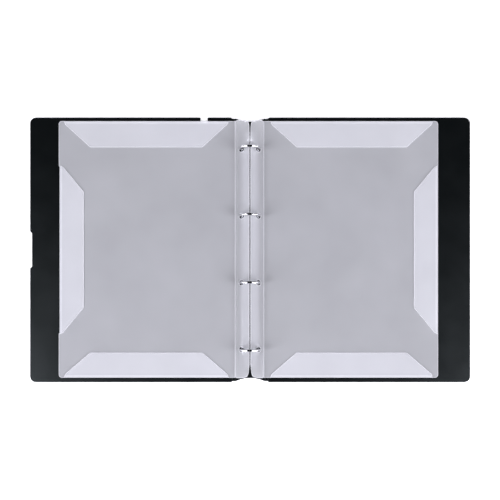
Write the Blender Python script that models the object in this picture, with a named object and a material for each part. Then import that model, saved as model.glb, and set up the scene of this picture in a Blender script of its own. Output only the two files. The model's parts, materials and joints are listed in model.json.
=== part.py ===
"""A4 ring binder, lying open on its back with two flap folders on its rings.

Metres, +Z up. The origin is on the table under the middle of the spine. +X runs across
the spread, from the front cover on the left to the back cover on the right, and +Y runs
along the spine to the binder's head.
"""

import math

import bmesh
import bpy
from mathutils import Vector

LEFT = -1
RIGHT = 1
SIDES = ((LEFT, "left"), (RIGHT, "right"))
GAP = 0.0003  # between neighbours that touch on the real binder

# Cover: one die-cut plastic sheet, folded at two living hinges beside the spine.
COVER_THICKNESS = 0.002
COVER_OUTER_X = 0.266
COVER_HALF_HEIGHT = 0.160
COVER_CORNER_RADIUS = 0.0068
COVER_HINGE_CHAMFER = (0.0016, 0.0009)  # across and along, at the ends of its hinge edge
HINGE_X = 0.020
HINGE_WEB_THICKNESS = 0.0005
HINGE_WEB_HALF_WIDTH = 0.0009
HINGE_EDGE_SLOPE = 0.001  # how far each panel's edge leans back from the hinge
PANEL_EDGE_TO_HINGE = HINGE_WEB_HALF_WIDTH + GAP
THUMB_NOTCH_LENGTH = 0.045
THUMB_NOTCH_DEPTH = 0.0023
HEAD_NOTCH_X = (0.0514, 0.0600)
HEAD_NOTCH_DEPTH = 0.006
HEAD_NOTCH_RADIUS = 0.002
SPINE_RELIEF = ((0.0050, 0.1550), (0.0120, 0.1567))  # distance from the middle, half height there
SPINE_SIDE_HALF_HEIGHT = 0.1589

# Ring mechanism: arched plate, two carrier blades under it, four rings in halves.
RING_Y = (0.120, 0.040, -0.040, -0.120)
RING_RADIUS = 0.0117
RING_WIRE_RADIUS = 0.0014
RING_CENTRE_Z = 0.0165
RING_ARC_END = math.radians(120)  # from the apex; a straight leg goes on from here
RING_LEG_END_Z = 0.0061
RING_ARC_STEPS = 18
RING_BEVEL_RESOLUTION = 3
PLATE_BOTTOM_Z = COVER_THICKNESS + GAP
PLATE_THICKNESS = 0.0008
PLATE_HALF_WIDTH = 0.012
PLATE_RISE = 0.0055
PLATE_SQUARENESS = 0.35  # 1 is a round arch, and less squares its shoulders
PLATE_ARCH_END_Y = 0.1265
PLATE_TAB_START_Y = 0.1290
PLATE_TAB_END_Y = 0.1390
PLATE_END_Y = 0.1420
PLATE_TAB_HALF_WIDTH = 0.0085
PLATE_END_HALF_WIDTH = 0.0055
PLATE_ARCH_STEPS = 12
RING_SLOT_X = (0.0056, 0.0109)
RING_SLOT_HALF_LENGTH = 0.0021
RING_SLOT_Z = (0.0052, 0.0100)
BLADE_PIVOT = (0.0104, 0.0048)  # distance from the middle, height
BLADE_INNER_X = 0.00025
BLADE_OUTER_X = 0.0105
BLADE_SLOPE = math.radians(7.5)
BLADE_THICKNESS = 0.001
BLADE_HALF_LENGTH = 0.1245
RIVET_Y = 0.134
RIVET_STEM_RADIUS = 0.0019
RIVET_HOLE_RADIUS = 0.0023
RIVET_HEAD_RADIUS = 0.0038
RIVET_RECESS_RADIUS = 0.0042
RIVET_RECESS_DEPTH = 0.001
RIVET_FOOT_Z = (0.0001, 0.0007)
RIVET_DOME_HEIGHT = 0.0013

# Flap folders: frosted film, each with a punched binding strip, a panel and three flaps.
FILM = 0.0005
FOLDER_BOTTOM_Z = 0.0026
FOLDER_HEAD_Y = 0.1555
FOLDER_FOOT_Y = -0.1544
FOLDER_CORNER_RADIUS = 0.0036
CREASE_X = {LEFT: 0.0178, RIGHT: 0.0163}
STRIP_TO_CREASE = 0.0005  # leaves room for the panel to stand up
PANEL_WIDTH = {LEFT: 0.2132, RIGHT: 0.2107}
STRIP_INNER_X = 0.00045
STRIP_TOP_Z = 0.0109
STRIP_STEPS = 14
STRIP_EASE = {  # distance from the middle and from the strip's end, along each inner corner
    "head": (
        (0.0030, 0),
        (0.0024, 0.0012),
        (0.0019, 0.0029),
        (0.0013, 0.0055),
        (0.0009, 0.0090),
        (0.0004, 0.0170),
    ),
    "foot": (
        (0.0125, 0),
        (0.0080, 0.0007),
        (0.0050, 0.0013),
        (0.0034, 0.0024),
        (0.0024, 0.0042),
        (0.0018, 0.0062),
        (0.0015, 0.0085),
        (0.0013, 0.0110),
        (0.0009, 0.0140),
        (0.0004, 0.0170),
    ),
}
HOLE_X = 0.0102
HOLE_RADIUS = 0.00325
HOLE_SIDES = 20
FOLD_INSET = 0.0007  # from the panel's cut edge at its corners in to a head or foot fold
SIDE_FOLD_INSET = {LEFT: 0.0016, RIGHT: 0.0007}
FLAP_DEPTH = {"top": 0.0309, "bottom": 0.0297}
SIDE_FLAP_DEPTH = 0.0285
FLAP_SHOULDER = (0.0010, 0.0038)  # along and in from the fold, before a flap's end slopes
FLAP_SLOPE_RUN = 0.031
FLAP_START = 0.0088  # along the folder's head and foot, from the crease
FLAP_STOP = 0.0070  # and from the outer edge
SIDE_FLAP_HALF_LENGTH = 0.101
FLAP_CORNER_RADIUS = 0.002


def clear_scene():
    for item in list(bpy.data.objects):
        bpy.data.objects.remove(item)


def make_material(name, colour, roughness, metallic=0.0, alpha=1.0):
    finish = bpy.data.materials.new(name)
    finish.use_nodes = True
    shader = finish.node_tree.nodes["Principled BSDF"]
    shader.inputs["Base Color"].default_value = (*colour, 1.0)
    shader.inputs["Roughness"].default_value = roughness
    shader.inputs["Metallic"].default_value = metallic
    shader.inputs["Alpha"].default_value = alpha
    return finish


def make_pivot(name, location, parent=None):
    """Empty on a joint's axis, which carries every piece that turns about it."""
    pivot = bpy.data.objects.new(name, None)
    bpy.context.scene.collection.objects.link(pivot)
    pivot.empty_display_size = 0.01
    pivot.location = location
    if parent:
        pivot.parent = parent
        pivot.location = Vector(location) - parent.matrix_world.translation
    bpy.context.view_layer.update()
    return pivot


def place(item, finish, pivot=None):
    """Links an object that is modelled in the binder's frame and hangs it on its pivot."""
    bpy.context.scene.collection.objects.link(item)
    if finish:
        item.data.materials.append(finish)
    if pivot:
        item.parent = pivot
        item.matrix_parent_inverse = pivot.matrix_world.inverted()
    return item


def add_mesh(name, bm, finish, pivot=None, smooth_below=None):
    bmesh.ops.recalc_face_normals(bm, faces=bm.faces)
    mesh = bpy.data.meshes.new(name)
    bm.to_mesh(mesh)
    bm.free()
    if smooth_below:
        mesh.shade_smooth()
        mesh.set_sharp_from_angle(angle=math.radians(smooth_below))
    return place(bpy.data.objects.new(name, mesh), finish, pivot)


def cut(target, name, bm):
    """Takes a cutter's shape out of the target with a live Boolean."""
    cutter = add_mesh(name, bm, None)
    cutter.hide_render = True
    cutter.display_type = "WIRE"
    boolean = target.modifiers.new(name, "BOOLEAN")
    boolean.operation = "DIFFERENCE"
    boolean.solver = "EXACT"
    boolean.object = cutter


def extrude(outline, direction, bm=None):
    """Solid made by pushing a flat outline of 3-D points along a direction."""
    bm = bm or bmesh.new()
    face = bm.faces.new([bm.verts.new(point) for point in outline])
    pushed = bmesh.ops.extrude_face_region(bm, geom=[face], use_keep_orig=True)
    moved = [item for item in pushed["geom"] if isinstance(item, bmesh.types.BMVert)]
    bmesh.ops.translate(bm, vec=direction, verts=moved)
    return bm


def slab(outline, bottom, top, bm=None):
    """Solid between two heights over an outline of (x, y) points."""
    return extrude([(x, y, bottom) for x, y in outline], (0, 0, top - bottom), bm)


def block(low, high, bm=None):
    outline = [(low[0], low[1]), (high[0], low[1]), (high[0], high[1]), (low[0], high[1])]
    return slab(outline, low[2], high[2], bm)


def turned(profile, centre, steps=24):
    """Solid of revolution about a vertical axis, from (radius, z) points on the axis at both ends."""
    bm = bmesh.new()
    points = [bm.verts.new((centre[0] + r, centre[1], z)) for r, z in profile]
    edges = [bm.edges.new(pair) for pair in zip(points, points[1:])]
    bmesh.ops.spin(
        bm,
        geom=points + edges,
        cent=(*centre, 0),
        axis=(0, 0, 1),
        angle=math.tau,
        steps=steps,
        use_duplicate=False,
    )
    bmesh.ops.remove_doubles(bm, verts=bm.verts, dist=1e-6)
    return bm


def rounded(corners, steps=5):
    """Outline through (x, y, radius) corners, with an arc where the radius isn't 0."""
    outline = []
    for index, (x, y, radius) in enumerate(corners):
        corner = Vector((x, y))
        if radius == 0:
            outline.append(corner)
            continue
        back = (Vector(corners[index - 1][:2]) - corner).normalized()
        ahead = (Vector(corners[(index + 1) % len(corners)][:2]) - corner).normalized()
        half_angle = back.angle(ahead) / 2
        centre = corner + (back + ahead).normalized() * radius / math.sin(half_angle)
        start = corner + back * radius / math.tan(half_angle) - centre
        stop = corner + ahead * radius / math.tan(half_angle) - centre
        for step in range(steps + 1):
            outline.append(centre + start.lerp(stop, step / steps).normalized() * radius)
    return outline


def mirrored(outline, side):
    return [(side * x, y) for x, y in outline]


def lean_hinge_edge(bm, edge_x, shift):
    """Moves a panel's upper hinge edge outwards by shift, so that the sheet can fold by 90 degrees."""
    for vert in bm.verts:
        on_edge = abs(abs(vert.co.x) - edge_x) < 1e-6
        if on_edge and vert.co.z > COVER_THICKNESS / 2:
            vert.co.x *= (edge_x + shift) / edge_x


def build_cover(name, side, notched, finish, pivot):
    """Front or back cover; the front one has a thumb notch and a slot at its head."""
    inner = HINGE_X + PANEL_EDGE_TO_HINGE
    outer = COVER_OUTER_X
    height = COVER_HALF_HEIGHT
    thumb = THUMB_NOTCH_LENGTH / 2
    depth = THUMB_NOTCH_DEPTH
    thumb_notch = [
        (outer, -thumb, 0),
        (outer - depth, -thumb + depth, 0),
        (outer - depth, thumb - depth, 0),
        (outer, thumb, 0),
    ]
    head_notch = [
        (HEAD_NOTCH_X[1], height, 0),
        (HEAD_NOTCH_X[1], height - HEAD_NOTCH_DEPTH, HEAD_NOTCH_RADIUS),
        (HEAD_NOTCH_X[0], height - HEAD_NOTCH_DEPTH, HEAD_NOTCH_RADIUS),
        (HEAD_NOTCH_X[0], height, 0),
    ]
    chamfer_x = inner + COVER_HINGE_CHAMFER[0]
    hinge_end = height - COVER_HINGE_CHAMFER[1]
    corners = [
        (inner, -hinge_end, 0),
        (chamfer_x, -height, 0),
        (outer, -height, COVER_CORNER_RADIUS),
        *(thumb_notch if notched else ()),
        (outer, height, COVER_CORNER_RADIUS),
        *(head_notch if notched else ()),
        (chamfer_x, height, 0),
        (inner, hinge_end, 0),
    ]
    bm = slab(mirrored(rounded(corners), side), 0, COVER_THICKNESS)
    lean_hinge_edge(bm, inner, HINGE_EDGE_SLOPE)
    add_mesh(name, bm, finish, pivot)


def build_spine(finish):
    """Spine panel, shorter than the covers, with a hole and a recess for each rivet."""
    edge = HINGE_X - PANEL_EDGE_TO_HINGE
    right = [*SPINE_RELIEF, (edge, SPINE_SIDE_HALF_HEIGHT)]
    head_right = list(reversed(right))
    head_left = [(-x, y) for x, y in right]
    foot_left = [(-x, -y) for x, y in head_right]
    foot_right = [(x, -y) for x, y in right]
    bm = slab(head_right + head_left + foot_left + foot_right, 0, COVER_THICKNESS)
    lean_hinge_edge(bm, edge, -HINGE_EDGE_SLOPE)
    spine = add_mesh("spine_panel", bm, finish)
    beyond = 0.001
    profile = [
        (0, -beyond),
        (RIVET_RECESS_RADIUS, -beyond),
        (RIVET_RECESS_RADIUS, RIVET_RECESS_DEPTH),
        (RIVET_HOLE_RADIUS, RIVET_RECESS_DEPTH),
        (RIVET_HOLE_RADIUS, COVER_THICKNESS + beyond),
        (0, COVER_THICKNESS + beyond),
    ]
    for end, y in (("head", RIVET_Y), ("foot", -RIVET_Y)):
        cut(spine, f"cutter_spine_hole_{end}", turned(profile, (0, y)))


def build_hinge_web(name, side, finish):
    """Thin web that is left of the cover sheet along a living hinge."""
    centre = side * HINGE_X
    low = (centre - HINGE_WEB_HALF_WIDTH, -SPINE_SIDE_HALF_HEIGHT, 0)
    high = (centre + HINGE_WEB_HALF_WIDTH, SPINE_SIDE_HALF_HEIGHT, HINGE_WEB_THICKNESS)
    add_mesh(name, block(low, high), finish)


def plate_section(y, half_width, rise):
    """Closed outline of the mechanism plate across the spine; with no rise it is a flat tab."""
    outer = [(-half_width, PLATE_BOTTOM_Z)]
    inner = [(PLATE_THICKNESS - half_width, PLATE_BOTTOM_Z)]
    for step in range(PLATE_ARCH_STEPS + 1):
        angle = math.pi * step / PLATE_ARCH_STEPS
        across = -math.cos(angle)
        lift = rise * max(math.sin(angle), 0) ** PLATE_SQUARENESS
        outer.append((half_width * across, PLATE_BOTTOM_Z + PLATE_THICKNESS + lift))
        inner.append(((half_width - PLATE_THICKNESS) * across, PLATE_BOTTOM_Z + lift))
    outer.append((half_width, PLATE_BOTTOM_Z))
    inner_end = (half_width - PLATE_THICKNESS, PLATE_BOTTOM_Z)
    under = [inner_end, *reversed(inner[2:-1]), inner[0]]
    return [(x, y, z) for x, z in outer + under]


def build_plate(finish):
    """Arched cover plate: a lofted shell with flat riveted ends and a slot for each ring leg."""
    ends = [
        (PLATE_END_Y, PLATE_END_HALF_WIDTH, 0),
        (PLATE_TAB_END_Y, PLATE_TAB_HALF_WIDTH, 0),
        (PLATE_TAB_START_Y, PLATE_TAB_HALF_WIDTH, 0),
        (PLATE_ARCH_END_Y, PLATE_HALF_WIDTH, PLATE_RISE),
    ]
    stations = [(-y, width, rise) for y, width, rise in ends]
    stations += list(reversed(ends))
    bm = bmesh.new()
    loops = [[bm.verts.new(point) for point in plate_section(*station)] for station in stations]
    for loop, following in zip(loops, loops[1:]):
        count = len(loop)
        for i in range(count):
            j = (i + 1) % count
            bm.faces.new((loop[i], loop[j], following[j], following[i]))
    bm.faces.new(loops[0])
    bm.faces.new(loops[-1])
    bmesh.ops.remove_doubles(bm, verts=bm.verts, dist=1e-7)
    plate = add_mesh("mechanism_plate", bm, finish, smooth_below=35)
    slots = bmesh.new()
    for side, _ in SIDES:
        near, far = sorted((side * RING_SLOT_X[0], side * RING_SLOT_X[1]))
        for y in RING_Y:
            low = (near, y - RING_SLOT_HALF_LENGTH, RING_SLOT_Z[0])
            high = (far, y + RING_SLOT_HALF_LENGTH, RING_SLOT_Z[1])
            block(low, high, slots)
    cut(plate, "cutter_ring_slots", slots)
    for end, y in (("head", RIVET_Y), ("foot", -RIVET_Y)):
        profile = [(0, 0), (RIVET_HOLE_RADIUS, 0), (RIVET_HOLE_RADIUS, RING_SLOT_Z[1]), (0, RING_SLOT_Z[1])]
        cut(plate, f"cutter_plate_hole_{end}", turned(profile, (0, y)))


def build_rivet(name, y, finish):
    """Rivet with a flat foot sunk in the spine's recess and a domed head on the plate's tab."""
    seat = PLATE_BOTTOM_Z + PLATE_THICKNESS + GAP
    low, high = RIVET_FOOT_Z
    profile = [
        (0, low),
        (RIVET_HEAD_RADIUS, low),
        (RIVET_HEAD_RADIUS, high),
        (RIVET_STEM_RADIUS, high),
        (RIVET_STEM_RADIUS, seat),
        (RIVET_HEAD_RADIUS, seat),
    ]
    for step in range(1, 5):
        angle = math.pi / 2 * step / 4
        radius = RIVET_HEAD_RADIUS * math.cos(angle) if step < 4 else 0
        profile.append((radius, seat + RIVET_DOME_HEIGHT * math.sin(angle)))
    add_mesh(name, turned(profile, (0, y)), finish, smooth_below=35)


def build_blade(side, side_name, finish, pivot):
    """Carrier blade under the plate: it pivots on its outer edge and meets its twin at the middle."""
    pivot_x, pivot_z = BLADE_PIVOT
    half = BLADE_THICKNESS / 2 / math.cos(BLADE_SLOPE)
    section = []
    for x, offset in (
        (BLADE_INNER_X, -half),
        (BLADE_OUTER_X, -half),
        (BLADE_OUTER_X, half),
        (BLADE_INNER_X, half),
    ):
        z = pivot_z - (pivot_x - x) * math.tan(BLADE_SLOPE) + offset
        section.append((side * x, -BLADE_HALF_LENGTH, z))
    bm = extrude(section, (0, 2 * BLADE_HALF_LENGTH, 0))
    add_mesh(f"{side_name}_blade", bm, finish, pivot)


def half_ring_path(side, y):
    """Centre line of a half ring: an arc from the apex, then a straight leg down to the blade."""
    tip = math.asin(GAP / 2 / RING_RADIUS)
    points = []
    for step in range(RING_ARC_STEPS + 1):
        angle = tip + (RING_ARC_END - tip) * step / RING_ARC_STEPS
        x = RING_RADIUS * math.sin(angle)
        z = RING_CENTRE_Z + RING_RADIUS * math.cos(angle)
        points.append((side * x, y, z))
    arc_x, arc_z = abs(points[-1][0]), points[-1][2]
    run = (arc_z - RING_LEG_END_Z) / -math.tan(RING_ARC_END)
    points.append((side * (arc_x - run), y, RING_LEG_END_Z))
    return points


def build_half_ring(name, side, y, finish, pivot):
    path = half_ring_path(side, y)
    curve = bpy.data.curves.new(name, "CURVE")
    curve.dimensions = "3D"
    curve.bevel_depth = RING_WIRE_RADIUS
    curve.bevel_resolution = RING_BEVEL_RESOLUTION
    curve.use_fill_caps = True
    spline = curve.splines.new("POLY")
    spline.points.add(len(path) - 1)
    for point, position in zip(spline.points, path):
        point.co = (*position, 1)
    place(bpy.data.objects.new(name, curve), finish, pivot)


def strip_line(side):
    """Centre line of a binding strip from its crease over the plate to the middle, as (x, z) points."""
    start_x = CREASE_X[side] - STRIP_TO_CREASE
    start_z = FOLDER_BOTTOM_Z + FILM / 2
    control = (
        Vector((start_x, start_z)),
        Vector((start_x - 0.0026, 0.0084)),
        Vector((0.0112, 0.0106)),
        Vector((STRIP_INNER_X, STRIP_TOP_Z)),
    )
    points = []
    for step in range(STRIP_STEPS + 1):
        t = step / STRIP_STEPS
        weights = ((1 - t) ** 3, 3 * t * (1 - t) ** 2, 3 * t * t * (1 - t), t**3)
        points.append(sum((w * p for w, p in zip(weights, control)), Vector((0, 0))))
    return points


def build_strip(side, side_name, finish, pivot):
    """Binding strip of a folder: bent film, punched for the rings, with eased inner corners."""
    line = strip_line(side)
    over, under = [], []
    for index, point in enumerate(line):
        ahead = line[min(index + 1, STRIP_STEPS)] - line[max(index - 1, 0)]
        normal = Vector((-ahead.y, ahead.x)).normalized() * FILM / 2
        if index == 0:
            normal = Vector((0, -FILM / 2))
        over.append(point - normal)
        under.append(point + normal)
    section = [(side * p.x, FOLDER_FOOT_Y, p.y) for p in over + under[::-1]]
    bm = extrude(section, (0, FOLDER_HEAD_Y - FOLDER_FOOT_Y, 0))
    strip = add_mesh(f"{side_name}_binding_strip", bm, finish, pivot, smooth_below=35)
    holes = bmesh.new()
    for y in RING_Y:
        circle = []
        for step in range(HOLE_SIDES):
            angle = math.tau * step / HOLE_SIDES
            x = side * HOLE_X + HOLE_RADIUS * math.cos(angle)
            circle.append((x, y + HOLE_RADIUS * math.sin(angle)))
        slab(circle, PLATE_BOTTOM_Z, RING_CENTRE_Z, holes)
    beyond = 0.003
    for end, outwards, edge in (("head", 1, FOLDER_HEAD_Y), ("foot", -1, FOLDER_FOOT_Y)):
        ease = STRIP_EASE[end]
        outline = [(-beyond, -beyond), (ease[0][0], -beyond), *ease, (-beyond, ease[-1][1])]
        slab(
            [(side * x, edge - outwards * inwards) for x, inwards in outline],
            PLATE_BOTTOM_Z,
            RING_CENTRE_Z,
            holes,
        )
    cut(strip, f"cutter_{side_name}_strip", holes)


def fold_lines(side):
    """Where a folder's flaps hinge: start and stop along each fold, and the fold's distance out."""
    outer = CREASE_X[side] + PANEL_WIDTH[side]
    start = CREASE_X[side] + FLAP_START
    stop = outer - FLAP_STOP
    return {
        "top": (start, stop, FOLDER_HEAD_Y - FOLD_INSET),
        "bottom": (start, stop, FOLDER_FOOT_Y + FOLD_INSET),
        "side": (-SIDE_FLAP_HALF_LENGTH, SIDE_FLAP_HALF_LENGTH, outer - SIDE_FOLD_INSET[side]),
    }


def build_panel(side, side_name, finish, pivot):
    """Folder panel, whose edge steps in to the fold line along each flap."""
    inner = CREASE_X[side] + GAP / 2
    outer = CREASE_X[side] + PANEL_WIDTH[side]
    folds = fold_lines(side)
    start, stop, head_fold = folds["top"]
    foot_fold = folds["bottom"][2]
    low, high, side_fold = folds["side"]
    start, low = start - GAP, low - GAP
    stop, high = stop + GAP, high + GAP
    corners = [
        (inner, FOLDER_FOOT_Y, 0),
        (start, FOLDER_FOOT_Y, 0),
        (start, foot_fold, 0),
        (stop, foot_fold, 0),
        (stop, FOLDER_FOOT_Y, 0),
        (outer, FOLDER_FOOT_Y, FOLDER_CORNER_RADIUS),
        (outer, low, 0),
        (side_fold, low, 0),
        (side_fold, high, 0),
        (outer, high, 0),
        (outer, FOLDER_HEAD_Y, FOLDER_CORNER_RADIUS),
        (stop, FOLDER_HEAD_Y, 0),
        (stop, head_fold, 0),
        (start, head_fold, 0),
        (start, FOLDER_HEAD_Y, 0),
        (inner, FOLDER_HEAD_Y, 0),
    ]
    bm = slab(mirrored(rounded(corners), side), FOLDER_BOTTOM_Z, FOLDER_BOTTOM_Z + FILM)
    add_mesh(f"{side_name}_folder_panel", bm, finish, pivot)


def flap_outline(fold_start, fold_stop, depth):
    """Flap with short shoulders, sloping ends and eased corners, as (along, inwards) from its fold."""
    shoulder, shoulder_depth = FLAP_SHOULDER
    corners = [
        (fold_start, GAP / 2, 0),
        (fold_stop, GAP / 2, 0),
        (fold_stop - shoulder, shoulder_depth, 0),
        (fold_stop - FLAP_SLOPE_RUN, depth, FLAP_CORNER_RADIUS),
        (fold_start + FLAP_SLOPE_RUN, depth, FLAP_CORNER_RADIUS),
        (fold_start + shoulder, shoulder_depth, 0),
    ]
    return rounded(corners)


def build_flaps(side, side_name, finish, panel_pivot):
    """Head, foot and side flap, folded in over the panel, each on a pivot at its fold."""
    bottom = FOLDER_BOTTOM_Z + FILM + GAP
    fold_z = bottom - GAP / 2
    folds = fold_lines(side)
    for where, (start, stop, fold) in folds.items():
        middle = (start + stop) / 2
        if where == "side":
            axis = (fold, middle)
            shape = flap_outline(start, stop, SIDE_FLAP_DEPTH)
            outline = [(fold - inwards, along) for along, inwards in shape]
        else:
            axis = (middle, fold)
            shape = flap_outline(start, stop, FLAP_DEPTH[where])
            inward = math.copysign(1, -fold)
            outline = [(along, fold + inward * inwards) for along, inwards in shape]
        name = f"{side_name}_{where}_flap"
        pivot = make_pivot(f"pivot_{name}", (side * axis[0], axis[1], fold_z), panel_pivot)
        add_mesh(name, slab(mirrored(outline, side), bottom, bottom + FILM), finish, pivot)


def main():
    clear_scene()
    black = make_material("cover_plastic", (0.012, 0.014, 0.015), 0.45)
    nickel = make_material("ring_steel", (0.78, 0.78, 0.80), 0.16, metallic=1.0)
    plate_steel = make_material("plate_steel", (0.74, 0.75, 0.77), 0.24, metallic=1.0)
    blade_steel = make_material("blade_steel", (0.55, 0.56, 0.58), 0.38, metallic=1.0)
    rivet_steel = make_material("rivet_steel", (0.72, 0.72, 0.74), 0.28, metallic=1.0)
    film = make_material("folder_film", (0.82, 0.82, 0.87), 0.42, alpha=0.6)

    hinge_z = HINGE_WEB_THICKNESS / 2
    crease_z = FOLDER_BOTTOM_Z + FILM / 2
    pivot_x, pivot_z = BLADE_PIVOT

    build_spine(black)
    for side, cover in ((LEFT, "front"), (RIGHT, "back")):
        build_hinge_web(f"{cover}_living_hinge", side, black)
        pivot = make_pivot(f"pivot_{cover}_cover", (side * HINGE_X, 0, hinge_z))
        build_cover(f"{cover}_cover", side, side == LEFT, black, pivot)

    build_plate(plate_steel)
    build_rivet("rivet_head_end", RIVET_Y, rivet_steel)
    build_rivet("rivet_foot_end", -RIVET_Y, rivet_steel)

    for side, side_name in SIDES:
        pivot = make_pivot(f"pivot_{side_name}_rings", (side * pivot_x, 0, pivot_z))
        build_blade(side, side_name, blade_steel, pivot)
        for number, y in enumerate(RING_Y, start=1):
            build_half_ring(f"{side_name}_half_ring_{number}", side, y, nickel, pivot)

    for side, side_name in SIDES:
        page = make_pivot(f"pivot_{side_name}_page", (0, 0, RING_CENTRE_Z))
        crease = make_pivot(f"pivot_{side_name}_panel", (side * CREASE_X[side], 0, crease_z), page)
        build_strip(side, side_name, film, page)
        build_panel(side, side_name, film, crease)
        build_flaps(side, side_name, film, crease)


main()
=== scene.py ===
import json
import math

import bmesh
import bpy
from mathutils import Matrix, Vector
from mathutils.geometry import delaunay_2d_cdt


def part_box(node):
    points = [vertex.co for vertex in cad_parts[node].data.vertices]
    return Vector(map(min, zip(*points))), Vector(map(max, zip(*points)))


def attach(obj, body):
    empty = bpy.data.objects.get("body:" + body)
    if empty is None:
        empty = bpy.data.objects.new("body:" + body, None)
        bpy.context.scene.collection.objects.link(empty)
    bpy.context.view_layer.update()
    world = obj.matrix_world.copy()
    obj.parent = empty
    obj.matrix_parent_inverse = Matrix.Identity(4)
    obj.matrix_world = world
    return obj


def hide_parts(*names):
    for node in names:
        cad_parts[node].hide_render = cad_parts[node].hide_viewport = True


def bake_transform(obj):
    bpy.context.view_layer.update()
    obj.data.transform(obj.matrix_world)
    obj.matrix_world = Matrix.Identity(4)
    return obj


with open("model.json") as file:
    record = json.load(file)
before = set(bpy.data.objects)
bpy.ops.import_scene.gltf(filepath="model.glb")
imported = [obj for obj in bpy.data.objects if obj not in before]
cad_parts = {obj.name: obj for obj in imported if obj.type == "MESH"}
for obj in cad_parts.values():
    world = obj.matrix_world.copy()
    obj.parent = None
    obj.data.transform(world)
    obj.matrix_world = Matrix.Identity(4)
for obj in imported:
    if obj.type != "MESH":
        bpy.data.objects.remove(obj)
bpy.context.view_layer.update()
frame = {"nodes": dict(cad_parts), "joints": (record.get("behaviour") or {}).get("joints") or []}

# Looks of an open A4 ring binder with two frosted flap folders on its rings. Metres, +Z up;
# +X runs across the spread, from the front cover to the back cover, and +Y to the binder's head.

LEFT = -1
RIGHT = 1
SIDES = ((LEFT, "left", "front"), (RIGHT, "right", "back"))
COVER_SHEETS = ("front_cover", "back_cover", "spine_panel")
RING_NUMBERS = (1, 2, 3, 4)
FLAPS = ("top", "bottom", "side")

SHARP_EDGE_ANGLE = math.radians(35)
BEVEL_ANGLE = math.radians(40)
BEVEL_SEGMENTS = 2
COVER_EDGE_BEVEL = 0.0003
SPINE_EDGE_BEVEL = 0.0002
HINGE_HALF_WIDTH = 0.0012
HINGE_THICKNESS = 0.0005
HINGE_LEAN = 0.00025  # how much wider the web is at its top, on each side
HINGE_STEPS = 8

# Film folders: outlines are drawn flat, with bands of pressed film or of painted edge highlight
# (brighter, less clear film) along their edges.
FILM = 0.0005
CUT_BAND = 0.00045  # painted highlight beside a cut edge: brighter, less clear film
FOLD_BAND = 0.0024  # pressed film beside a flap's fold
CREASE_BAND = 0.0007  # brighter, less clear film beside the crease
STRIP_EDGE_BAND = 0.0007  # painted highlight along the middle edge: brighter, less clear film
NO_BAND = 0.00001  # on a piece that looks the same all over
BODY_LOOK, EDGE_HIGHLIGHT_LOOK, PRESSED_LOOK = 0, 1, 2  # a film piece's material slots
STRAIGHT_CORNER = 0.0001  # a corner counts as straight if the sine of its turn is below this
SAME_PLACE = 0.000001  # lines closer than this are one line
WELD_DISTANCE = 0.0000001  # points closer than this are one point
ARC_STEPS = 6
FOLD_STEPS = 8
CREASE_STEPS = 6
FOLDER_CORNER_RADIUS = 0.0036
FLAP_CORNER_RADIUS = 0.002
FLAP_SHOULDER = (0.0010, 0.0038)  # step in from the fold's end, along the fold and away from it
FLAP_SLOPE_RUN = 0.031

# Rings: round bows whose ends meet at the apex, with straight legs down into the plate.
RING_RADIUS = 0.0117
RING_CENTRE_Z = 0.0165
RING_WIRE_RADIUS = 0.00134
RING_ARC_END = math.radians(120)  # from the apex
RING_LEG_END_Z = 0.0061
RING_DOME = 0.0011  # length of the rounded end at the apex
RING_TIP_SHARE = 0.3  # how thick the end itself is, against the wire
RING_TIP_GAP = 0.00015  # from the middle to each end
RING_ARC_STEPS = 36
RING_DOME_STEPS = 5
RING_SIDES = 20

# Binding strips: they bend from the crease over the plate, and their inner corners are eased.
CREASE_X = {LEFT: 0.0178, RIGHT: 0.0163}
STRIP_TO_CREASE = 0.0005
STRIP_RISE = (0.0026, 0.0084)  # first pull of the bend: run from the crease, and height
STRIP_CROWN = (0.0112, 0.0106)  # second pull: distance from the middle, and height
STRIP_INNER_X = 0.00065
STRIP_TOP_Z = 0.0109
STRIP_STEPS = 26
HOLE_X = 0.0102
HOLE_RADIUS = 0.00325
HOLE_SIDES = 32
STRIP_HEAD_EASE = (  # distance from the middle, and from the strip's end
    (0.0030, 0),
    (0.0024, 0.0012),
    (0.0019, 0.0029),
    (0.0013, 0.0055),
    (0.0009, 0.0090),
    (0.0004, 0.0170),
)
STRIP_FOOT_EASE = (
    (0.0125, 0),
    (0.0080, 0.0007),
    (0.0050, 0.0013),
    (0.0034, 0.0024),
    (0.0024, 0.0042),
    (0.0018, 0.0062),
    (0.0015, 0.0085),
    (0.0013, 0.0110),
    (0.0009, 0.0140),
    (0.0004, 0.0170),
)

# Painted light on the steel, as distances from the middle over which each one fades: painted
# shade at the rings' apex, a painted shadow line down the plate's middle, and a painted highlight
# along the plate's crown that fades to painted shade on its sides.
RING_APEX_SHADE = (0.0016, 0.0033)
PLATE_GAP_SHADE = (0.0008, 0.0018)
PLATE_CROWN_HIGHLIGHT = (0.0055, 0.0115)

# Studio: a bright floor and walls, two softboxes on the foot side, and a dark ceiling.
DAYLIGHT = (0.97, 0.97, 1.06)
WHITE = (1.0, 1.0, 1.0, 1.0)
WALL_LIGHT = 3.0
CEILING_LIGHT = 0.01
CEILING_HEIGHT = 0.7  # z of the directions in which the ceiling starts
HEAD_SIDE_SHARE = 0.02  # of the walls' light
WALL_FADE = (-0.3, 0.25)  # y of the directions between which the walls fade to the head side
FLOOR_HALF_SIZE = 4.0
FLOOR_Z = -0.0003
FLOOR_GLOW = 0.5
SOFTBOX_DIRECTION = (0.689, -0.336, 0.643)  # the right one's; the left one is its mirror image
SOFTBOX_DISTANCE = 2.4
SOFTBOX_SIZE = 1.4
SOFTBOX_POWER = 61.0
CAMERA_PLACE = (0.018, -0.063, 0.820)
CAMERA_LENS = 48.7
CAMERA_SENSOR = 36.0
CAMERA_SHIFT = (-0.03, 0.104)

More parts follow.
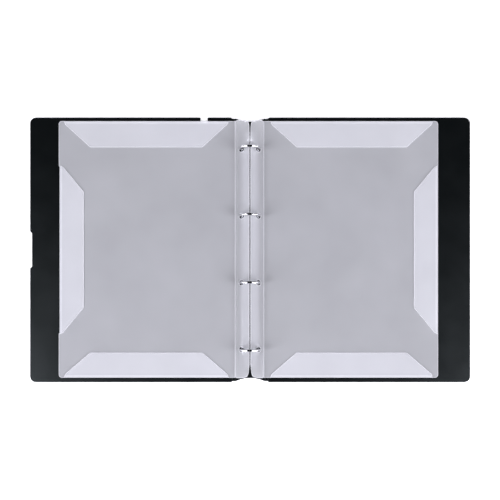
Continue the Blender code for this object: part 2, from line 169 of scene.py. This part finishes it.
MIX_FACTOR, MIX_FIRST, MIX_SECOND, MIX_RESULT = 0, 6, 7, 2  # a colour Mix node's sockets


# ---------------------------------------------------------------- node helpers


def add_node(tree, kind, inputs=(), **settings):
    """New node, with its settings and with its inputs as numbers or as other nodes' sockets."""
    node = tree.nodes.new(kind)
    for key, value in settings.items():
        setattr(node, key, value)
    for key, value in dict(inputs).items():
        if isinstance(value, bpy.types.NodeSocket):
            tree.links.new(value, node.inputs[key])
        else:
            node.inputs[key].default_value = value
    return node


def grain(tree, scale, detail, stretch=(1, 1, 1)):
    """Noise in the piece's own coordinates, as a value from 0 to 1; scale is in cells per metre."""
    place = add_node(tree, "ShaderNodeTexCoord")
    mapped = add_node(
        tree, "ShaderNodeMapping", {"Vector": place.outputs["Object"], "Scale": stretch}
    )
    noise = add_node(
        tree,
        "ShaderNodeTexNoise",
        {"Vector": mapped.outputs["Vector"], "Scale": scale, "Detail": detail, "Roughness": 0.5},
    )
    return noise.outputs["Fac"]


def spread(tree, value, low, high, start=0.3, stop=0.7):
    """Maps a value from start to stop, such as a noise value, on to a range from low to high."""
    node = add_node(
        tree,
        "ShaderNodeMapRange",
        {"Value": value, "From Min": start, "From Max": stop, "To Min": low, "To Max": high},
    )
    return node.outputs["Result"]


def mix_socket(tree, factor, first, second):
    """Colour mix, whose sockets are picked by number, because a Mix node has several called A."""
    node = tree.nodes.new("ShaderNodeMix")
    node.data_type = "RGBA"
    tree.links.new(factor, node.inputs[MIX_FACTOR])
    node.inputs[MIX_FIRST].default_value = (*first, 1.0)
    node.inputs[MIX_SECOND].default_value = (*second, 1.0)
    return node.outputs[MIX_RESULT]


def new_material(name):
    material = bpy.data.materials.new(name)
    material.use_nodes = True
    tree = material.node_tree
    shader = tree.nodes["Principled BSDF"]
    output = tree.nodes["Material Output"]
    return material, tree, shader, output


def bump(tree, shader, height, strength, distance):
    node = add_node(
        tree,
        "ShaderNodeBump",
        {"Height": height, "Strength": strength, "Distance": distance},
    )
    tree.links.new(node.outputs["Normal"], shader.inputs["Normal"])
    return node.outputs["Normal"]


def distance_from_middle(tree):
    """Distance from the plane between the two sides of the binder, in metres."""
    place = add_node(tree, "ShaderNodeTexCoord")
    split = add_node(tree, "ShaderNodeSeparateXYZ", {"Vector": place.outputs["Object"]})
    away = add_node(tree, "ShaderNodeMath", {0: split.outputs["X"]}, operation="ABSOLUTE")
    return away.outputs["Value"]


# ---------------------------------------------------------------- materials


def make_cover_plastic():
    """Matt black polypropylene sheet with a fine embossed grain."""
    material, tree, shader, _ = new_material("black_cover_sheet")
    cloud = grain(tree, scale=9, detail=3)
    wear = grain(tree, scale=40, detail=4)
    embossing = grain(tree, scale=2600, detail=2)
    colour = mix_socket(tree, cloud, (0.0008, 0.0012, 0.0014), (0.0013, 0.0018, 0.0020))
    tree.links.new(colour, shader.inputs["Base Color"])
    tree.links.new(spread(tree, wear, low=0.275, high=0.315), shader.inputs["Roughness"])
    shader.inputs["Specular IOR Level"].default_value = 0.40
    shader.inputs["Specular Tint"].default_value = (0.90, 1.0, 1.0, 1.0)
    bump(tree, shader, embossing, strength=0.12, distance=0.00008)
    return material


def make_film(name, clear, shade, tint):
    """Frosted film: part of the light goes straight through, and the rest is scattered both ways.

    clear is the range of the part that goes straight through. A piece of film has a face on each
    side, so light crosses this material twice.
    """
    material, tree, shader, output = new_material(name)
    cloud = grain(tree, scale=6, detail=2)
    smudges = grain(tree, scale=14, detail=2)
    wear = grain(tree, scale=55, detail=3)
    frost = grain(tree, scale=1800, detail=3)
    colour = mix_socket(tree, spread(tree, cloud, low=0.0, high=1.0), shade, tint)
    tree.links.new(colour, shader.inputs["Base Color"])
    tree.links.new(spread(tree, wear, low=0.46, high=0.56), shader.inputs["Roughness"])
    shader.inputs["Specular IOR Level"].default_value = 0.15
    normal = bump(tree, shader, frost, strength=0.2, distance=0.0001)
    through = add_node(tree, "ShaderNodeBsdfTranslucent", {"Color": colour, "Normal": normal})
    scatter = tree.nodes.new("ShaderNodeMixShader")
    scatter.inputs["Fac"].default_value = 0.5
    tree.links.new(shader.outputs["BSDF"], scatter.inputs[1])
    tree.links.new(through.outputs["BSDF"], scatter.inputs[2])
    straight = tree.nodes.new("ShaderNodeBsdfTransparent")
    whole = tree.nodes.new("ShaderNodeMixShader")
    tree.links.new(spread(tree, smudges, *clear), whole.inputs["Fac"])
    tree.links.new(scatter.outputs["Shader"], whole.inputs[1])
    tree.links.new(straight.outputs["BSDF"], whole.inputs[2])
    tree.links.new(whole.outputs["Shader"], output.inputs["Surface"])
    return material


def make_steel(name, bright, dull, smooth, rough, scale, stretch, strength):
    """Plated steel with fine drawing marks along it and faint handling haze."""
    material, tree, shader, _ = new_material(name)
    haze = grain(tree, scale=60, detail=4)
    marks = grain(tree, scale, detail=3, stretch=stretch)
    tree.links.new(mix_socket(tree, haze, dull, bright), shader.inputs["Base Color"])
    tree.links.new(spread(tree, haze, smooth, rough), shader.inputs["Roughness"])
    shader.inputs["Metallic"].default_value = 1.0
    bump(tree, shader, marks, strength, distance=0.00005)
    return material


def make_ring_steel():
    """Bright nickel, with painted shade at the apex, where the teeth of the two half rings lock."""
    material, tree, shader, _ = new_material("ring_nickel")
    haze = grain(tree, scale=60, detail=4)
    pits = grain(tree, scale=900, detail=3)
    # Painted shade: the nickel turns near black at the apex, where the two half rings meet.
    unshaded = spread(tree, distance_from_middle(tree), 0.0, 1.0, *RING_APEX_SHADE)
    bright = mix_socket(tree, unshaded, (0.015, 0.015, 0.018), (0.80, 0.80, 0.81))
    tree.links.new(bright, shader.inputs["Base Color"])
    tree.links.new(spread(tree, haze, low=0.08, high=0.15), shader.inputs["Roughness"])
    shader.inputs["Metallic"].default_value = 1.0
    bump(tree, shader, pits, strength=0.12, distance=0.00005)
    return material


def make_plate_steel():
    """Dull nickel, with a painted highlight along the crown, painted shade on the sides, and a
    painted shadow line down the middle.
    """
    material, tree, shader, _ = new_material("plate_nickel")
    haze = grain(tree, scale=60, detail=4)
    rolling = grain(tree, scale=500, detail=3, stretch=(1, 0.02, 1))
    away = distance_from_middle(tree)
    # Painted highlight along the crown, fading to painted shade on the plate's sides.
    crown = spread(tree, away, 1.0, 0.0, *PLATE_CROWN_HIGHLIGHT)
    # Painted shadow line down the middle, under the gap between the two strips.
    outside_gap_shade = spread(tree, away, 0.0, 1.0, *PLATE_GAP_SHADE)
    painted_light = add_node(tree, "ShaderNodeMath", {0: crown, 1: outside_gap_shade}, operation="MULTIPLY")
    bright = mix_socket(tree, painted_light.outputs["Value"], (0.05, 0.05, 0.054), (0.42, 0.42, 0.435))
    tree.links.new(bright, shader.inputs["Base Color"])
    tree.links.new(spread(tree, haze, low=0.14, high=0.22), shader.inputs["Roughness"])
    shader.inputs["Metallic"].default_value = 1.0
    bump(tree, shader, rolling, strength=0.15, distance=0.00005)
    return material


def make_floor():
    """Matt white paper that glows a little, so that it stays white to the edges of the view."""
    material, tree, shader, _ = new_material("studio_floor")
    cloud = grain(tree, scale=3, detail=2)
    colour = mix_socket(tree, cloud, (0.86, 0.86, 0.86), (0.89, 0.89, 0.89))
    tree.links.new(colour, shader.inputs["Base Color"])
    shader.inputs["Roughness"].default_value = 0.9
    shader.inputs["Specular IOR Level"].default_value = 0.1
    shader.inputs["Emission Color"].default_value = WHITE
    shader.inputs["Emission Strength"].default_value = FLOOR_GLOW
    return material


# ---------------------------------------------------------------- mesh helpers


def finish_mesh(name, bm, materials):
    """Turns a bmesh into a piece in the scene, smooth except at its sharp edges."""
    bmesh.ops.recalc_face_normals(bm, faces=bm.faces)
    mesh = bpy.data.meshes.new(name)
    bm.to_mesh(mesh)
    bm.free()
    for material in materials:
        mesh.materials.append(material)
    mesh.shade_smooth()
    mesh.set_sharp_from_angle(angle=SHARP_EDGE_ANGLE)
    piece = bpy.data.objects.new(name, mesh)
    bpy.context.scene.collection.objects.link(piece)
    return piece


def inside(point, loop):
    """Even-odd test of a point against a closed outline."""
    x, y = point
    hit = False
    for (ax, ay), (bx, by) in zip(loop, loop[1:] + loop[:1]):
        if (ay > y) != (by > y) and x < (bx - ax) * (y - ay) / (by - ay) + ax:
            hit = not hit
    return hit


def inset(loop, widths):
    """Anticlockwise outline moved inwards, each edge by its own width."""
    moved = []
    count = len(loop)
    for i in range(count):
        here = Vector(loop[i])
        before = (here - Vector(loop[i - 1])).normalized()
        after = (Vector(loop[(i + 1) % count]) - here).normalized()
        first = Vector((-before.y, before.x))
        second = Vector((-after.y, after.x))
        wide_first, wide_second = widths[i - 1], widths[i]
        turn = first.cross(second)
        if abs(turn) < STRAIGHT_CORNER:
            moved.append(here + second * max(wide_first, wide_second))
            continue
        corner_first = here + first * wide_first
        corner_second = here + second * wide_second
        along = (corner_second - corner_first).cross(after) / before.cross(after)
        moved.append(corner_first + before * along)
    return moved


def rounded(corners):
    """Outline through (x, y, radius) corners, with an arc where the radius isn't 0."""
    outline = []
    for index, (x, y, radius) in enumerate(corners):
        corner = Vector((x, y))
        if radius == 0:
            outline.append(corner)
            continue
        back = (Vector(corners[index - 1][:2]) - corner).normalized()
        ahead = (Vector(corners[(index + 1) % len(corners)][:2]) - corner).normalized()
        half_angle = back.angle(ahead) / 2
        centre = corner + (back + ahead).normalized() * radius / math.sin(half_angle)
        start = corner + back * radius / math.tan(half_angle) - centre
        stop = corner + ahead * radius / math.tan(half_angle) - centre
        for step in range(ARC_STEPS + 1):
            outline.append(centre + start.lerp(stop, step / ARC_STEPS).normalized() * radius)
    return outline


def circle(centre, radius):
    angles = [math.tau * i / HOLE_SIDES for i in range(HOLE_SIDES)]
    return [Vector(centre) + radius * Vector((math.cos(a), math.sin(a))) for a in angles]


def nearest_band(point, outline, bands):
    """Width of the band along the outline's edge that is nearest to a point."""
    nearest = []
    for i, start in enumerate(outline):
        start = Vector(start)
        along = Vector(outline[(i + 1) % len(outline)]) - start
        share = min(max((point - start).dot(along) / along.length_squared, 0), 1)
        nearest.append(((point - start - share * along).length, bands[i]))
    return min(nearest)[1]


def film_piece(name, outline, place, materials, bands, holes=(), guides=()):
    """Film of even thickness over a flat pattern, which place() puts into space.

    outline is the pattern, anticlockwise. bands has the width of the pressed film, or of the painted
    edge highlight, along each of its edges. holes are (centre, radius), and guides are the lines
    along which a curved piece bends. materials are for the body, the painted edge highlight (a
    brighter, less clear film) and pressed film.
    """
    inner = inset(outline, bands)
    loops = [list(outline), inner]
    for centre, radius in holes:
        loops += [circle(centre, radius), circle(centre, radius + CUT_BAND)]
    points, edges = [], []
    for loop in loops:
        first = len(points)
        points += [Vector(p) for p in loop]
        edges += [(first + i, first + (i + 1) % len(loop)) for i in range(len(loop))]
    for start, stop in guides:
        edges.append((len(points), len(points) + 1))
        points += [Vector(start), Vector(stop)]
    flat, _, triangles, *_ = delaunay_2d_cdt(points, edges, [], 0, WELD_DISTANCE)
    bm = bmesh.new()
    over = [bm.verts.new(place(p, FILM / 2)) for p in flat]
    under = [bm.verts.new(place(p, -FILM / 2)) for p in flat]
    rim = {}
    for triangle in triangles:
        middle = sum((flat[i] for i in triangle), Vector((0, 0))) / len(triangle)
        if not inside(middle, outline):
            continue
        if any((middle - Vector(c)).length < r for c, r in holes):
            continue
        look = BODY_LOOK
        # Film beside a hole or a cut edge gets the painted edge highlight.
        if any((middle - Vector(c)).length < r + CUT_BAND for c, r in holes):
            look = EDGE_HIGHLIGHT_LOOK
        elif not inside(middle, inner):
            pressed = nearest_band(middle, outline, bands) == FOLD_BAND
            look = PRESSED_LOOK if pressed else EDGE_HIGHLIGHT_LOOK
        for verts in ([over[i] for i in triangle], [under[i] for i in reversed(triangle)]):
            bm.faces.new(verts).material_index = look
        for a, b in zip(triangle, list(triangle[1:]) + [triangle[0]]):
            if (b, a) in rim:
                del rim[(b, a)]
            else:
                rim[(a, b)] = True
    for a, b in rim:
        wall = bm.faces.new((over[b], over[a], under[a], under[b]))
        wall.material_index = EDGE_HIGHLIGHT_LOOK
    loose = [v for v in bm.verts if not v.link_faces]
    bmesh.ops.delete(bm, geom=loose, context="VERTS")
    return finish_mesh(name, bm, materials)


def tube(name, path, radii, across, material):
    """Round bar along a flat path; across is the unit vector square to the path's plane."""
    bm = bmesh.new()
    angles = [math.tau * step / RING_SIDES for step in range(RING_SIDES)]
    rings = []
    for i, (point, radius) in enumerate(zip(path, radii)):
        ahead = (path[min(i + 1, len(path) - 1)] - path[max(i - 1, 0)]).normalized()
        side = ahead.cross(across)
        spokes = [side * math.cos(angle) + across * math.sin(angle) for angle in angles]
        rings.append([bm.verts.new(point + radius * spoke) for spoke in spokes])
    for ring, following in zip(rings, rings[1:]):
        for i in range(RING_SIDES):
            j = (i + 1) % RING_SIDES
            bm.faces.new((ring[i], ring[j], following[j], following[i]))
    bm.faces.new(rings[0])
    bm.faces.new(rings[-1])
    return finish_mesh(name, bm, [material])


# ---------------------------------------------------------------- the binder's pieces


def finish_cad_nodes(nodes, looks, bevels):
    """Gives each carried-over CAD node its material, and the cover sheets a small rounded edge."""
    for name, material in looks.items():
        piece = nodes[name]
        piece.data.materials.clear()
        piece.data.materials.append(material)
        width = bevels.get(name)
        if width:
            bevel = piece.modifiers.new("eased_edges", "BEVEL")
            bevel.width = width
            bevel.segments = BEVEL_SEGMENTS
            bevel.limit_method = "ANGLE"
            bevel.angle_limit = BEVEL_ANGLE
            bevel.harden_normals = True


def build_hinge(cover, material):
    """Living hinge: the thin web of the cover sheet, which bends from the spine to the cover."""
    name = f"{cover}_living_hinge"
    low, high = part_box(name)
    centre = (low.x + high.x) / 2
    bm = bmesh.new()
    rows = []
    for i in range(HINGE_STEPS + 1):
        share = 2 * i / HINGE_STEPS - 1
        bottom = centre + share * HINGE_HALF_WIDTH
        top = centre + share * (HINGE_HALF_WIDTH + HINGE_LEAN)
        rows.append(
            [
                bm.verts.new((x, y, z))
                for x, z in ((bottom, 0), (top, HINGE_THICKNESS))
                for y in (low.y, high.y)
            ]
        )
    for a, b in zip(rows, rows[1:]):
        bm.faces.new((a[0], a[1], b[1], b[0]))
        bm.faces.new((a[2], b[2], b[3], a[3]))
        bm.faces.new((a[0], b[0], b[2], a[2]))
        bm.faces.new((a[1], a[3], b[3], b[1]))
    bm.faces.new((rows[0][0], rows[0][2], rows[0][3], rows[0][1]))
    bm.faces.new((rows[-1][0], rows[-1][1], rows[-1][3], rows[-1][2]))
    piece = finish_mesh(f"{cover}_hinge_web", bm, [material])
    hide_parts(name)
    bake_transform(piece)


def build_half_ring(side, side_name, number, material):
    """Half ring: a domed tip at the apex, the round bow, and a straight leg to the blade."""
    node = f"{side_name}_half_ring_{number}"
    low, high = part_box(node)
    y = (low.y + high.y) / 2
    tip = math.asin(RING_TIP_GAP / RING_RADIUS)
    dome = RING_DOME / RING_RADIUS
    turns = [math.pi / 2 * i / RING_DOME_STEPS for i in range(RING_DOME_STEPS)]
    angles = [tip + dome * (1 - math.cos(turn)) for turn in turns]
    bow = tip + dome
    angles += [bow + (RING_ARC_END - bow) * i / RING_ARC_STEPS for i in range(RING_ARC_STEPS + 1)]
    path = [
        Vector((side * RING_RADIUS * math.sin(a), y, RING_CENTRE_Z + RING_RADIUS * math.cos(a)))
        for a in angles
    ]
    down = path[-1]
    run = (down.z - RING_LEG_END_Z) / -math.tan(RING_ARC_END)
    path.append(Vector((down.x - side * run, y, RING_LEG_END_Z)))
    shares = [RING_TIP_SHARE + (1 - RING_TIP_SHARE) * math.sin(turn) for turn in turns]
    radii = [RING_WIRE_RADIUS * share for share in shares]
    radii += [RING_WIRE_RADIUS] * (len(path) - len(radii))
    piece = tube(f"{side_name}_ring_half_{number}", path, radii, Vector((0, 1, 0)), material)
    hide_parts(node)
    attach(piece, f"{side_name}_rings")


def strip_line(side):
    """Centre line of a binding strip from its crease over the plate to the middle, as (x, z)."""
    panel_low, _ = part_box(f"{'left' if side == LEFT else 'right'}_folder_panel")
    start_x = CREASE_X[side] - STRIP_TO_CREASE
    start_z = panel_low.z + FILM / 2
    control = (
        Vector((start_x, start_z)),
        Vector((start_x - STRIP_RISE[0], STRIP_RISE[1])),
        Vector(STRIP_CROWN),
        Vector((STRIP_INNER_X, STRIP_TOP_Z)),
    )
    points = []
    for step in range(STRIP_STEPS + 1):
        t = step / STRIP_STEPS
        weights = ((1 - t) ** 3, 3 * t * (1 - t) ** 2, 3 * t * t * (1 - t), t**3)
        points.append(sum((w * p for w, p in zip(weights, control)), Vector((0, 0))))
    return points


def build_strip(side, side_name, films):
    """Binding strip: film bent over the ring plate, punched for the four rings."""
    line = strip_line(side)
    lengths = [0.0]
    for a, b in zip(line, line[1:]):
        lengths.append(lengths[-1] + (b - a).length)
    normals = []
    for i in range(len(line)):
        ahead = line[min(i + 1, len(line) - 1)] - line[max(i - 1, 0)]
        normals.append(Vector((ahead.y, -ahead.x)).normalized())
    normals[0] = Vector((0, 1))

    def locate(run):
        """Point and normal of the strip's centre line, at a run along it from the crease."""
        i = 1
        while i < len(lengths) - 1 and lengths[i] < run:
            i += 1
        share = (run - lengths[i - 1]) / (lengths[i] - lengths[i - 1])
        share = min(max(share, 0.0), 1.0)
        return line[i - 1].lerp(line[i], share), normals[i - 1].lerp(normals[i], share)

    def place(point, height):
        spot, normal = locate(point.x)
        spot = spot + normal * height
        return (side * spot.x, point.y, spot.y)

    low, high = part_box(f"{side_name}_binding_strip")
    total = lengths[-1]
    step = next(i for i in range(len(line) - 1) if line[i + 1].x <= HOLE_X <= line[i].x)
    share = (line[step].x - HOLE_X) / (line[step].x - line[step + 1].x)
    hole_run = lengths[step] + (lengths[step + 1] - lengths[step]) * share
    reach = total + STRIP_INNER_X
    head_ease = reversed(STRIP_HEAD_EASE)
    foot = [Vector((min(reach - x, total), low.y + inwards)) for x, inwards in STRIP_FOOT_EASE]
    head = [Vector((min(reach - x, total), high.y - inwards)) for x, inwards in head_ease]
    outline = [Vector((0, low.y))] + foot + head + [Vector((0, high.y))]
    bands = [CUT_BAND] * len(outline)
    bands[len(foot)] = STRIP_EDGE_BAND
    bands[-1] = CREASE_BAND
    ring_boxes = [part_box(f"{side_name}_half_ring_{n}") for n in RING_NUMBERS]
    holes = [((hole_run, (ring[0].y + ring[1].y) / 2), HOLE_RADIUS) for ring in ring_boxes]
    guides = [((run, low.y), (run, high.y)) for run in lengths[1:-1]]
    piece = film_piece(f"{side_name}_strip", outline, place, films, bands, holes, guides)
    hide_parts(f"{side_name}_binding_strip")
    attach(piece, f"{side_name}_strip")


def build_crease(side, side_name, films):
    """Crease: the pressed line where the panel bends away from the binding strip."""
    low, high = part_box(f"{side_name}_folder_panel")
    start = CREASE_X[side] - STRIP_TO_CREASE
    stop = min(abs(low.x), abs(high.x))
    middle = (low.z + high.z) / 2
    outline = [Vector(p) for p in ((start, low.y), (stop, low.y), (stop, high.y), (start, high.y))]

    def place(point, height):
        return (side * point.x, point.y, middle + height)

    guides = []
    for i in range(1, CREASE_STEPS):
        x = start + (stop - start) * i / CREASE_STEPS
        guides.append(((x, low.y), (x, high.y)))
    # The crease is made all of the brighter, less clear film.
    white = [films[EDGE_HIGHLIGHT_LOOK]] * 2
    bands = [NO_BAND] * len(outline)
    piece = film_piece(f"{side_name}_crease", outline, place, white, bands, guides=guides)
    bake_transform(piece)


def fold_lines(side_name):
    """Where a folder's flaps hinge: start and stop along each fold, and the fold's distance out."""
    places = {joint["name"]: joint["pos_m"] for joint in frame["joints"]}
    folds = {}
    for where in FLAPS:
        low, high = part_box(f"{side_name}_{where}_flap")
        x, y, _ = places[f"{side_name}_{where}_flap_fold"]
        if where == "side":
            folds[where] = (low.y, high.y, abs(x))
        else:
            folds[where] = (*sorted((abs(low.x), abs(high.x))), y)
    return folds


def build_panel(side, side_name, films):
    """Folder panel, whose edge steps in to the fold line along each flap."""
    low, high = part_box(f"{side_name}_folder_panel")
    near, far = sorted((abs(low.x), abs(high.x)))
    middle = (low.z + high.z) / 2
    folds = fold_lines(side_name)
    start, stop, head_fold = folds["top"]
    foot_fold = folds["bottom"][2]
    side_low, side_high, side_fold = folds["side"]
    corners = [
        (near, low.y, 0),
        (start, low.y, 0),
        (start, foot_fold, 0),
        (stop, foot_fold, 0),
        (stop, low.y, 0),
        (far, low.y, FOLDER_CORNER_RADIUS),
        (far, side_low, 0),
        (side_fold, side_low, 0),
        (side_fold, side_high, 0),
        (far, side_high, 0),
        (far, high.y, FOLDER_CORNER_RADIUS),
        (stop, high.y, 0),
        (stop, head_fold, 0),
        (start, head_fold, 0),
        (start, high.y, 0),
        (near, high.y, 0),
    ]
    outline = rounded(corners)
    bands = [CUT_BAND] * len(outline)
    bands[-1] = CREASE_BAND
    for i, point in enumerate(outline):
        ahead = outline[(i + 1) % len(outline)]
        x, y = (point + ahead) / 2
        if min(abs(y - head_fold), abs(y - foot_fold), abs(x - side_fold)) < SAME_PLACE:
            bands[i] = FOLD_BAND

    def place(point, height):
        return (side * point.x, point.y, middle + height)

    piece = film_piece(f"{side_name}_panel_film", outline, place, films, bands)
    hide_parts(f"{side_name}_folder_panel")
    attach(piece, f"{side_name}_panel")


def build_flap(side, side_name, where, films):
    """Flap folded in over the panel, and the fold that joins the two."""
    node = f"{side_name}_{where}_flap"
    low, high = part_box(node)
    panel_low, panel_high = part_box(f"{side_name}_folder_panel")
    middle = (low.z + high.z) / 2
    panel_middle = (panel_low.z + panel_high.z) / 2
    fold_z = (middle + panel_middle) / 2
    start, stop, edge = fold_lines(side_name)[where]
    if where == "side":
        depth = edge - min(abs(low.x), abs(high.x))
    else:
        depth = edge - low.y if where == "top" else high.y - edge
    shoulder, shoulder_depth = FLAP_SHOULDER
    corners = [
        (start, 0, 0),
        (stop, 0, 0),
        (stop - shoulder, shoulder_depth, 0),
        (stop - FLAP_SLOPE_RUN, depth, FLAP_CORNER_RADIUS),
        (start + FLAP_SLOPE_RUN, depth, FLAP_CORNER_RADIUS),
        (start + shoulder, shoulder_depth, 0),
    ]

    def spot(along, inwards, z):
        """Place from a distance along the fold, a distance in from it, and a height."""
        if where == "side":
            return (side * (edge - inwards), along, z)
        if where == "top":
            return (side * along, edge - inwards, z)
        return (side * along, edge + inwards, z)

    def place(point, height):
        return spot(point.x, point.y, middle + height)

    outline = rounded(corners)
    bands = [CUT_BAND] * len(outline)
    bands[0] = FOLD_BAND
    flap = film_piece(f"{side_name}_{where}_flap_film", outline, place, films, bands)
    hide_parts(node)
    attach(flap, f"{side_name}_{where}_flap")

    radius = middle - fold_z
    length = math.pi * radius

    def bend(point, height):
        angle = point.y / radius
        reach = (radius + height) * math.sin(angle)
        return spot(point.x, -reach, fold_z - (radius + height) * math.cos(angle))

    pattern = [Vector(p) for p in ((start, 0), (stop, 0), (stop, length), (start, length))]
    guides = []
    for i in range(1, FOLD_STEPS):
        run = length * i / FOLD_STEPS
        guides.append(((start, run), (stop, run)))
    pressed = [films[PRESSED_LOOK]] * 2
    bands = [NO_BAND] * len(pattern)
    fold = film_piece(f"{side_name}_{where}_fold", pattern, bend, pressed, bands, guides=guides)
    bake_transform(fold)


# ---------------------------------------------------------------- studio


def build_floor(material):
    """Large square floor, just under the binder."""
    size = FLOOR_HALF_SIZE
    bm = bmesh.new()
    corners = ((-size, -size), (size, -size), (size, size), (-size, size))
    bm.faces.new([bm.verts.new((x, y, FLOOR_Z)) for x, y in corners])
    floor = finish_mesh("studio_floor", bm, [material])


def add_softbox(side, side_name):
    """Square softbox on one side of the binder, turned to face its middle."""
    name = f"softbox_{side_name}"
    light = bpy.data.lights.new(name, "AREA")
    light.shape = "RECTANGLE"
    light.size = SOFTBOX_SIZE
    light.size_y = SOFTBOX_SIZE
    light.energy = SOFTBOX_POWER
    light.color = DAYLIGHT
    lamp = bpy.data.objects.new(name, light)
    bpy.context.scene.collection.objects.link(lamp)
    x, y, z = SOFTBOX_DIRECTION
    away = Vector((side * x, y, z)).normalized()
    lamp.location = away * SOFTBOX_DISTANCE
    lamp.rotation_euler = away.to_track_quat("Z", "Y").to_euler()


def build_world():
    """White walls that fade into a dark ceiling, and into the dark on the binder's head side.

    The camera itself sees a plain white backdrop.
    """
    world = bpy.data.worlds.new("studio")
    bpy.context.scene.world = world
    world.use_nodes = True
    tree = world.node_tree
    place = add_node(tree, "ShaderNodeTexCoord")
    split = add_node(tree, "ShaderNodeSeparateXYZ", {"Vector": place.outputs["Generated"]})
    walls = spread(tree, split.outputs["Z"], WALL_LIGHT, CEILING_LIGHT, 0.0, CEILING_HEIGHT)
    fade = spread(tree, split.outputs["Y"], 1.0, HEAD_SIDE_SHARE, *WALL_FADE)
    glow = add_node(tree, "ShaderNodeMath", {0: walls, 1: fade}, operation="MULTIPLY")
    lit = tree.nodes["Background"]
    tree.links.new(glow.outputs["Value"], lit.inputs["Strength"])
    backdrop = add_node(tree, "ShaderNodeBackground", {"Color": WHITE})
    seen = add_node(tree, "ShaderNodeLightPath")
    either = add_node(tree, "ShaderNodeMixShader", {"Fac": seen.outputs["Is Camera Ray"]})
    tree.links.new(lit.outputs["Background"], either.inputs[1])
    tree.links.new(backdrop.outputs["Background"], either.inputs[2])
    tree.links.new(either.outputs["Shader"], tree.nodes["World Output"].inputs["Surface"])
    lit.inputs["Color"].default_value = (*DAYLIGHT, 1.0)


def build_camera():
    data = bpy.data.cameras.new("camera")
    data.sensor_width = CAMERA_SENSOR
    data.lens = CAMERA_LENS
    data.shift_x, data.shift_y = CAMERA_SHIFT
    camera = bpy.data.objects.new("camera", data)
    bpy.context.scene.collection.objects.link(camera)
    camera.location = CAMERA_PLACE
    bpy.context.scene.camera = camera


# ---------------------------------------------------------------- assembly

slot_of = {name: "cover_plastic" for name in COVER_SHEETS}
slot_of["mechanism_plate"] = "plate_steel"
slot_of["left_blade"] = slot_of["right_blade"] = "blade_steel"
slot_of["rivet_head_end"] = slot_of["rivet_foot_end"] = "rivet_steel"

cover_plastic = make_cover_plastic()
chrome = make_ring_steel()
plate_nickel = make_plate_steel()
blade_steel = make_steel(
    "blade_zinc",
    bright=(0.62, 0.63, 0.65),
    dull=(0.48, 0.49, 0.51),
    smooth=0.32,
    rough=0.45,
    scale=700,
    stretch=(1, 0.05, 1),
    strength=0.3,
)
rivet_finish = {"smooth": 0.20, "rough": 0.34, "scale": 800, "stretch": (1, 1, 1), "strength": 0.2}
# The foot rivet gets a dark copy of the rivet steel: painted shade.
rivet_painted_shade = make_steel(
    "rivet_painted_shade", bright=(0.08, 0.08, 0.085), dull=(0.05, 0.05, 0.055), **rivet_finish
)
rivet_steel = make_steel(
    "rivet_nickel", bright=(0.80, 0.80, 0.82), dull=(0.66, 0.66, 0.68), **rivet_finish
)
clear_film = {"shade": (0.965, 0.965, 0.985), "tint": (0.975, 0.975, 0.99)}
film_body = make_film("frosted_film", clear=(0.585, 0.625), **clear_film)
film_strip = make_film("frosted_strip_film", clear=(0.61, 0.65), **clear_film)
# Brighter, less clear film for cut edges, hole rims and the strips' middle edge: a painted highlight.
film_edge_highlight = make_film(
    "edge_highlight_film", clear=(0.18, 0.24), shade=(0.975, 0.975, 0.99), tint=(0.985, 0.985, 0.995)
)
film_fold = make_film(
    "pressed_film", clear=(0.48, 0.54), shade=(0.97, 0.97, 0.985), tint=(0.98, 0.98, 0.99)
)
films = [film_body, film_edge_highlight, film_fold]
strip_films = [film_strip, film_edge_highlight, film_fold]

looks = {name: cover_plastic for name in COVER_SHEETS}
looks.update({"mechanism_plate": plate_nickel, "left_blade": blade_steel, "right_blade": blade_steel})
looks.update({"rivet_head_end": rivet_steel, "rivet_foot_end": rivet_painted_shade})
bevels = {
    "front_cover": COVER_EDGE_BEVEL,
    "back_cover": COVER_EDGE_BEVEL,
    "spine_panel": SPINE_EDGE_BEVEL,
}
finish_cad_nodes(frame["nodes"], looks, bevels)

for side, side_name, cover in SIDES:
    build_hinge(cover, cover_plastic)
    for number in RING_NUMBERS:
        build_half_ring(side, side_name, number, chrome)
    build_strip(side, side_name, strip_films)
    build_crease(side, side_name, films)
    build_panel(side, side_name, films)
    for where in FLAPS:
        build_flap(side, side_name, where, films)

build_floor(make_floor())
build_world()
for side, side_name, _ in SIDES:
    add_softbox(side, side_name)
bpy.context.scene.view_settings.view_transform = "Standard"
build_camera()
